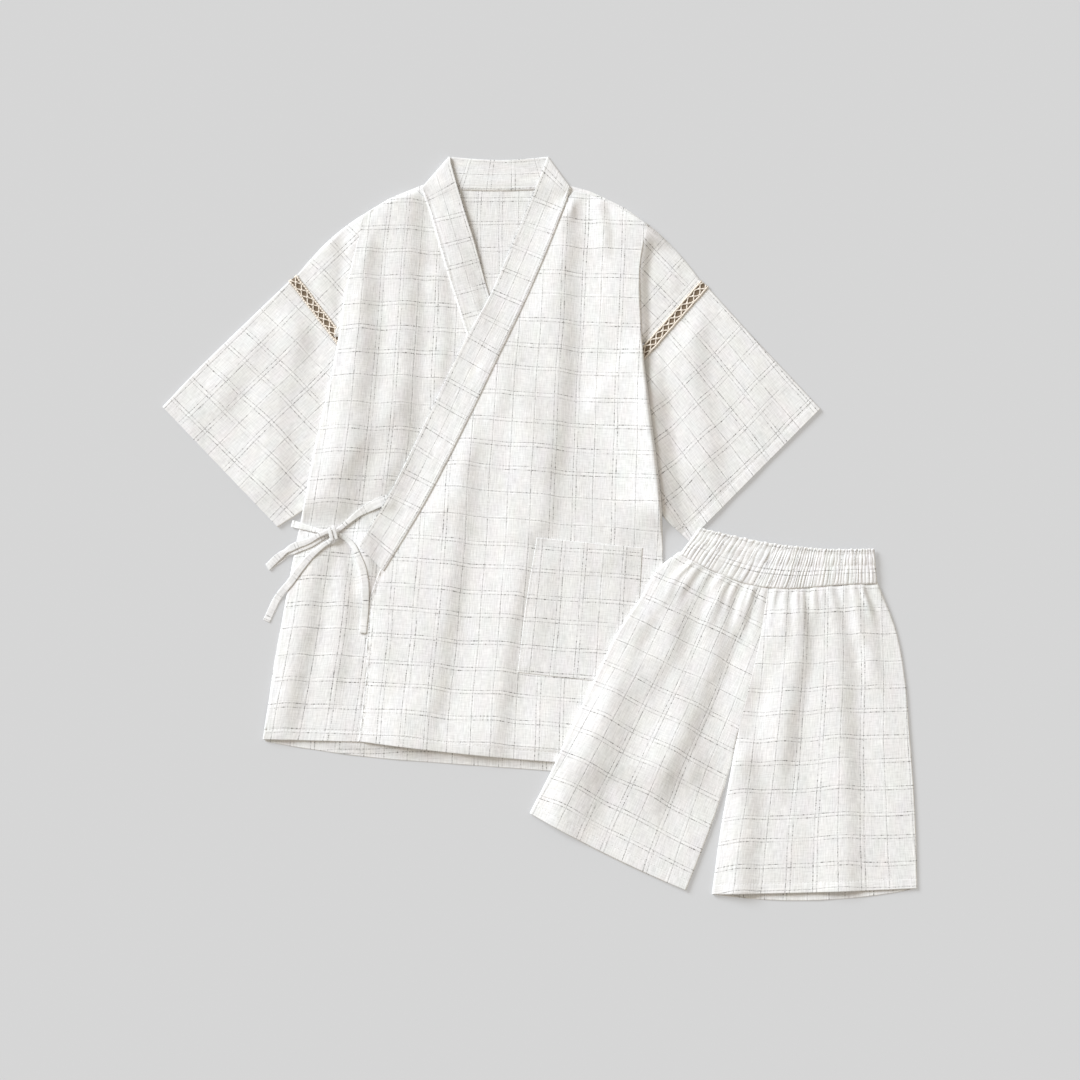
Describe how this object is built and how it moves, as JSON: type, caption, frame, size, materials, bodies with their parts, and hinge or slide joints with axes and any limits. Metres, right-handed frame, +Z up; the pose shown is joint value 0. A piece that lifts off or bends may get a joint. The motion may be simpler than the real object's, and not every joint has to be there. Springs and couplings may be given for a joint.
{
  "type": "jinbei set, jacket and shorts, laid flat",
  "caption": "Cotton jinbei laid flat: a wrap jacket tied at one side, with the gathered shorts of the set lying over its hem.",
  "frame": {"origin": "middle of the laid set's outline, on the surface that it rests on", "axes": "+Z up from the surface, +Y towards the collar, +X towards the shorts' side of the set"},
  "size_m": [0.7548, 0.744, 0.0142],
  "materials": {
    "jacket_back": "matt slub cotton, off-white with a thin grey check",
    "jacket_front_under": "matt slub cotton, off-white with a thin grey check",
    "jacket_front_over": "matt slub cotton, off-white with a thin grey check",
    "collar": "matt slub cotton, off-white with a thin grey check",
    "sleeve_left": "matt slub cotton, off-white with a thin grey check",
    "sleeve_right": "matt slub cotton, off-white with a thin grey check",
    "lace_left": "openwork cream thread over a buff tape",
    "lace_right": "openwork cream thread over a buff tape",
    "pocket": "matt slub cotton, off-white with a thin grey check",
    "tie_side": "matt slub cotton, off-white with a thin grey check",
    "tie_over": "matt slub cotton, off-white with a thin grey check",
    "tie_knot": "matt slub cotton, off-white with a thin grey check",
    "shorts_waistband": "matt slub cotton, off-white with a thin grey check, gathered",
    "shorts_leg_left": "matt slub cotton, off-white with a thin grey check",
    "shorts_leg_right": "matt slub cotton, off-white with a thin grey check"
  },
  "bodies": {
    "root": {"jacket_back": "jacket_back", "jacket_front_under": "jacket_front_under", "jacket_front_over": "jacket_front_over", "collar": "collar", "sleeve_left": "sleeve_left", "sleeve_right": "sleeve_right", "lace_left": "lace_left", "lace_right": "lace_right", "pocket": "pocket", "tie_side": "tie_side", "tie_over": "tie_over", "tie_knot": "tie_knot", "shorts_waistband": "shorts_waistband", "shorts_leg_left": "shorts_leg_left", "shorts_leg_right": "shorts_leg_right"}
  },
  "joints": []
}
